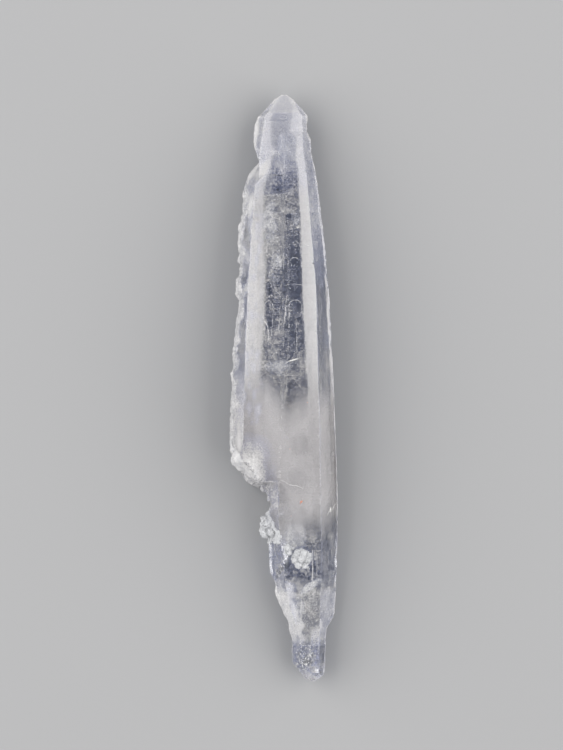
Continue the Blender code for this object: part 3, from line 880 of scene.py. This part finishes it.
def grain_tree(name, body):
    """Geometry Nodes that spread small bodies over a host's faces and keep only the bodies."""
    tree = bpy.data.node_groups.new(name, "GeometryNodeTree")
    kinds = {"Host": "Geometry", "Seed": "Int", "Finish": "Material"}
    sizes = ("Per square metre", "Smallest", "Largest", "Length", "Sunk", "Lean")
    for label in ("Host", *sizes, "Seed", "Finish"):
        socket_type = "NodeSocket" + kinds.get(label, "Float")
        tree.interface.new_socket(label, in_out="INPUT", socket_type=socket_type)
    tree.interface.new_socket("Grains", in_out="OUTPUT", socket_type="NodeSocketGeometry")
    add, link = tree.nodes.new, tree.links.new
    given, end = add("NodeGroupInput").outputs, add("NodeGroupOutput")
    spread = add("GeometryNodeDistributePointsOnFaces")
    for label, socket in (("Host", "Mesh"), ("Per square metre", "Density"), ("Seed", "Seed")):
        link(given[label], spread.inputs[socket])
    if body == "crystal":
        shape = add("GeometryNodeMeshCone")
        form = {"Vertices": 6, "Radius Top": 0.12, "Radius Bottom": 0.5, "Depth": 1.0}
    else:
        shape = add("GeometryNodeMeshIcoSphere")
        form = {"Subdivisions": 1, "Radius": 0.5}
    for label, value in form.items():
        shape.inputs[label].default_value = value
    size = add("FunctionNodeRandomValue")
    for label, socket in (("Smallest", 2), ("Largest", 3), ("Seed", "Seed")):
        link(given[label], size.inputs[socket])
    lean = add("FunctionNodeRandomValue")
    lean.data_type = "FLOAT_VECTOR"
    link(math_of(tree, "MULTIPLY", given["Lean"], -1.0), lean.inputs[0])
    link(given["Lean"], lean.inputs[1])
    link(given["Seed"], lean.inputs["Seed"])
    angle = add("FunctionNodeEulerToRotation")
    link(lean.outputs[0], angle.inputs[0])
    turn = add("FunctionNodeRotateRotation")
    turn.rotation_space = "LOCAL"
    link(spread.outputs["Rotation"], turn.inputs["Rotation"])
    link(angle.outputs[0], turn.inputs["Rotate By"])
    wide, tall = size.outputs[1], math_of(tree, "MULTIPLY", size.outputs[1], given["Length"])
    stretch = add("ShaderNodeCombineXYZ")
    for i, part in enumerate((wide, wide, tall)):
        link(part, stretch.inputs[i])
    inwards = add("ShaderNodeVectorMath")
    inwards.operation = "SCALE"
    link(spread.outputs["Normal"], inwards.inputs[0])
    link(math_of(tree, "MULTIPLY", given["Sunk"], -1.0), inwards.inputs["Scale"])
    sunk = add("GeometryNodeSetPosition")
    link(spread.outputs["Points"], sunk.inputs["Geometry"])
    link(inwards.outputs[0], sunk.inputs["Offset"])
    grown = add("GeometryNodeInstanceOnPoints")
    for part, socket in (
        (sunk.outputs[0], "Points"), (shape.outputs["Mesh"], "Instance"),
        (turn.outputs[0], "Rotation"), (stretch.outputs[0], "Scale"),
    ):
        link(part, grown.inputs[socket])
    solid_grains = add("GeometryNodeRealizeInstances")
    finish = add("GeometryNodeSetMaterial")
    link(grown.outputs[0], solid_grains.inputs[0])
    link(solid_grains.outputs[0], finish.inputs["Geometry"])
    link(given["Finish"], finish.inputs["Material"])
    link(finish.outputs[0], end.inputs[0])
    return tree


def grown_on(host_net, name, tree, sizes):
    """Runs a grain tree over a net and keeps the result as a plain mesh piece."""
    host = piece_from(host_net, name + " host", 180)
    grow = host.modifiers.new("grow", "NODES")
    grow.node_group = tree
    for item in tree.interface.items_tree:
        if item.in_out == "INPUT" and item.name in sizes:
            grow[item.identifier] = sizes[item.name]
    graph = bpy.context.evaluated_depsgraph_get()
    mesh = bpy.data.meshes.new_from_object(host.evaluated_get(graph))
    bpy.data.objects.remove(host)
    mesh.name = name
    places = np.empty(len(mesh.vertices) * 3)
    mesh.vertices.foreach_get("co", places)
    kept = np.clip(places.reshape(-1, 3), *cad_box)
    mesh.vertices.foreach_set("co", kept.ravel())
    grains = placed(name, mesh)
    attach(grains, "root")


def plain(name, colour, roughness, specular=0.5):
    """A material of one colour."""
    values = {"Base Color": (*colour, 1.0), "Roughness": roughness, "Specular IOR Level": specular}
    return new_material(name, values)[0]


def two_toned(name, grains, dark, light, roughness, specular=0.5):
    """A material whose colour wanders between two, with this many grains to the metre."""
    values = {"Roughness": roughness, "Specular IOR Level": specular}
    material, tree, shader = new_material(name, values)
    pattern = noise_of(tree, node(tree, "TexCoord").outputs["Object"], (grains,) * 3, 2.0)
    tree.links.new(mixed(tree, pattern, (*dark, 1.0), (*light, 1.0)), shader.inputs["Base Color"])
    return material


# Each sheet of bubbles, given as a veil is.
BUBBLE_SHEETS = [
    ((-1.9, 26.0, 2.6), 1.7, 7.5, 14, 0, 0, 1.0),
    ((1.3, 23.0, 3.8), 1.5, 9.0, -20, 2, 0, 1.0),
    ((-0.2, 8.0, 1.6), 3.2, 8.5, 4, 3, 0, 1.0),
    ((0.6, 38.0, 4.0), 2.0, 6.5, 10, -4, 0, 1.0),
    ((2.6, -41.0, 3.0), 2.4, 6.0, -8, 4, 0, 1.0),
]
sheets = bmesh.new()
sheet_mask = sheets.verts.layers.float.new("sheet")
for lens in BUBBLE_SHEETS:
    veil(sheets, sheet_mask, *lens)
bubble_tree = grain_tree("bubble sheet", "bubble")
grown_on(sheets, "bubbles", bubble_tree, {
    "Per square metre": 2.4e6, "Smallest": 0.00003, "Largest": 0.00013, "Length": 0.5, "Sunk": 0.0,
    "Lean": 0.5, "Seed": 4, "Finish": plain("trapped bubbles", (0.93, 0.93, 0.95), 0.35),
})

# Each speck of iron: X, Y, Z and radius, in millimetres.
IRON_SPECKS = [
    (2.9, -19.1, 10.35, 0.17), (2.75, -19.35, 10.3, 0.09), (3.12, -18.9, 10.3, 0.07),
    (1.0, -10.2, 10.2, 0.06), (3.9, -2.4, 10.8, 0.07), (1.2, -21.5, 9.4, 0.05),
]
specks = bmesh.new()
for x, y, z, radius in IRON_SPECKS:
    made = bmesh.ops.create_icosphere(specks, subdivisions=2, radius=radius)
    for vert in made["verts"]:
        vert.co = vert.co * (1 + 0.5 * noise.noise(vert.co * 9 + Vector((x, y, z)))) + Vector((x, y, z))
iron = two_toned("iron specks", 5000.0, (0.80, 0.22, 0.12), (0.92, 0.48, 0.34), 0.7)
quartz_piece(specks, "iron_specks", 60, iron)


# --- Sugary druse and rim crumbs ------------------------------------------------------------------
# White crusts of crystals too small to tell apart: on the clump at the left edge, on the one on the
# front face and between them, and loose along the chipped rim, on the broken end and on the stub. They
# grew or lodged on the outer faces.

sugar = two_toned("sugary quartz", 2600.0, (0.58, 0.59, 0.61), (0.82, 0.82, 0.83), 0.3, 0.6)


def host_where(wanted):
    """The crystal's own faces, in millimetres, wherever wanted(place, normal, roughness) is true."""
    bm = bmesh.new()
    bm.from_mesh(crystal.data)
    bmesh.ops.scale(bm, vec=(1 / MM,) * 3, verts=bm.verts)
    bm.normal_update()
    mask = bm.verts.layers.float["rough"]
    other = []
    for face in bm.faces:
        rough = sum(vert[mask] for vert in face.verts) / len(face.verts)
        if not wanted(face.calc_center_median(), face.normal, rough):
            other.append(face)
    bmesh.ops.delete(bm, geom=other, context="FACES")
    return bm


def patch_round(middle, radius):
    """The crystal's faces round a place, with a wavy outline, cut three times finer."""
    middle = Vector(middle)
    patch = host_where(
        lambda at, normal, rough: normal.z > -0.7
        and (at - middle).length < radius * (1 + 0.25 * noise.noise(at * 1.3))
    )
    bmesh.ops.subdivide_edges(patch, edges=patch.edges, cuts=2, use_grid_fill=True)
    bmesh.ops.triangulate(patch, faces=[face for face in patch.faces if len(face.verts) > 4])
    patch.normal_update()
    return patch


def raise_grains(patch):
    """Lifts a patch into flat-topped grains, fills the gaps between its lumps and sinks its rim."""
    filled = patch.copy()
    for _ in range(80):
        bmesh.ops.smooth_vert(
            filled, verts=filled.verts, factor=0.6, use_axis_x=True, use_axis_y=True, use_axis_z=True
        )
    for vert, filled_vert in zip(patch.verts, filled.verts):
        coarse, fine = [noise.voronoi(vert.co * scale)[1][0] for scale in (2.7, 5.0)]
        stand = 0.06 + 0.13 * (0.5 * noise.cell(coarse * 5.0) + 0.5) + 0.05 * noise.cell(fine * 5.0)
        stand += max(0.0, (filled_vert.co - vert.co).dot(vert.normal))
        vert.co += vert.normal * (-0.03 if vert.is_boundary else stand)
        vert.co = [min(max(at, low / MM), high / MM) for at, low, high in zip(vert.co, *cad_box)]
    filled.free()


druse_tree = grain_tree("druse", "crystal")
# Each crust: its middle and how far it reaches, in millimetres.
CRUSTS = {
    "left": (LEFT_CLUMP_MIDDLE, 2.9),
    "ridge": ((-1.3, -24.9, 8.7), 1.5),
    "front": (FRONT_CLUMP_MIDDLE, 1.75),
    "small": ((0.7, -27.3, 9.8), 0.9),
}
for place, (middle, radius) in CRUSTS.items():
    patch = patch_round(middle, radius)
    raise_grains(patch)
    druse_host = patch.copy()
    quartz_piece(patch, place + "_crust", 12, sugar)
    grown_on(druse_host, place + "_druse", druse_tree, {
        "Per square metre": 9.5e6, "Smallest": 0.00014, "Largest": 0.00036, "Length": 0.5, "Sunk": 0.00002,
        "Lean": 1.0, "Seed": 11, "Finish": sugar,
    })

rim = host_where(lambda at, normal, rough: rough > 0.6 and at.y > -15.5 and normal.z > -0.5)
grown_on(rim, "rim_crumbs", bubble_tree, {
    "Per square metre": 2.6e6, "Smallest": 0.00008, "Largest": 0.00032, "Length": 0.8, "Sunk": 0.00008,
    "Lean": 1.2, "Seed": 23, "Finish": sugar,
})

# The etched front of the stub, which tiny crystals cover: its middle, half width and half length.
STUB_MIDDLE, STUB_REACH = (3.6, -45.3), (1.5, 2.7)


def on_stub(at, normal, rough):
    """Whether a face belongs to the stub's etched front."""
    away = math.hypot((at.x - STUB_MIDDLE[0]) / STUB_REACH[0], (at.y - STUB_MIDDLE[1]) / STUB_REACH[1])
    return normal.z > 0.3 and away < 1


# The stub's tiny crystals are painted near-white, above the sugary crust's colour, as painted glints,
# besides the real glints of their smooth faces.
grown_on(host_where(on_stub), "stub_crystals", druse_tree, {
    "Per square metre": 5.5e6, "Smallest": 0.00007, "Largest": 0.00022, "Length": 0.6, "Sunk": 0.00001,
    "Lean": 0.7, "Seed": 31, "Finish": plain("quartz painted white for glints", (0.97, 0.97, 0.98), 0.15),
})


# --- Floor, light and camera ----------------------------------------------------------------------
# The crystal lies on its back face on a plain pale floor, under soft lamps at both sides.

bpy.ops.mesh.primitive_plane_add(size=4.0, location=(0, 0, -0.00008))
floor = bpy.context.object
floor.name = "floor"
floor.data.materials.append(plain("pale floor", (0.48, 0.48, 0.485), 0.9, 0.0))

sky = bpy.data.worlds.new("studio")
sky.use_nodes = True
glow = sky.node_tree.nodes["Background"]
glow.inputs["Color"].default_value = (1.0, 1.0, 1.0, 1.0)
glow.inputs["Strength"].default_value = 0.4
bpy.context.scene.world = sky


def softbox(name, place, power):
    """A square lamp with a wide soft face, turned towards the crystal."""
    lamp = bpy.data.lights.new(name, "AREA")
    lamp.size = 0.9
    lamp.energy = power
    stand = placed(name, lamp)
    stand.location = place
    stand.rotation_euler = (-Vector(place)).to_track_quat("-Z", "Y").to_euler()


softbox("left softbox", (-0.50, 0.08, 0.32), 4.1)
softbox("right softbox", (0.50, 0.0, 0.30), 3.75)

# The camera's view, in pixels: its size, its scale at the crystal's middle height, and where the
# crystal's origin lies in it, from the left and from the top.
VIEW_WIDTH, VIEW_HEIGHT = 563, 750
PIXEL = 0.1 / 588.0
ORIGIN_ACROSS, ORIGIN_DOWN = 284.0, 387.9
MIDDLE_HEIGHT = 0.0045
optics = bpy.data.cameras.new("camera")
optics.lens = 100
optics.sensor_fit = "VERTICAL"
optics.sensor_height = 24
camera = placed("camera", optics)
reach = VIEW_HEIGHT * PIXEL * optics.lens / optics.sensor_height
camera.location = (
    (VIEW_WIDTH / 2 - ORIGIN_ACROSS) * PIXEL,
    (ORIGIN_DOWN - VIEW_HEIGHT / 2) * PIXEL,
    reach + MIDDLE_HEIGHT,
)
bpy.context.scene.camera = camera

# Light has to get through many clear and cloudy layers.
cycles = bpy.context.scene.cycles
cycles.max_bounces = 24
cycles.transmission_bounces = 24
cycles.transparent_max_bounces = 48
cycles.glossy_bounces = 12
cycles.diffuse_bounces = 6
cycles.caustics_refractive = False
cycles.caustics_reflective = False
bpy.context.scene.view_settings.view_transform = "Standard"
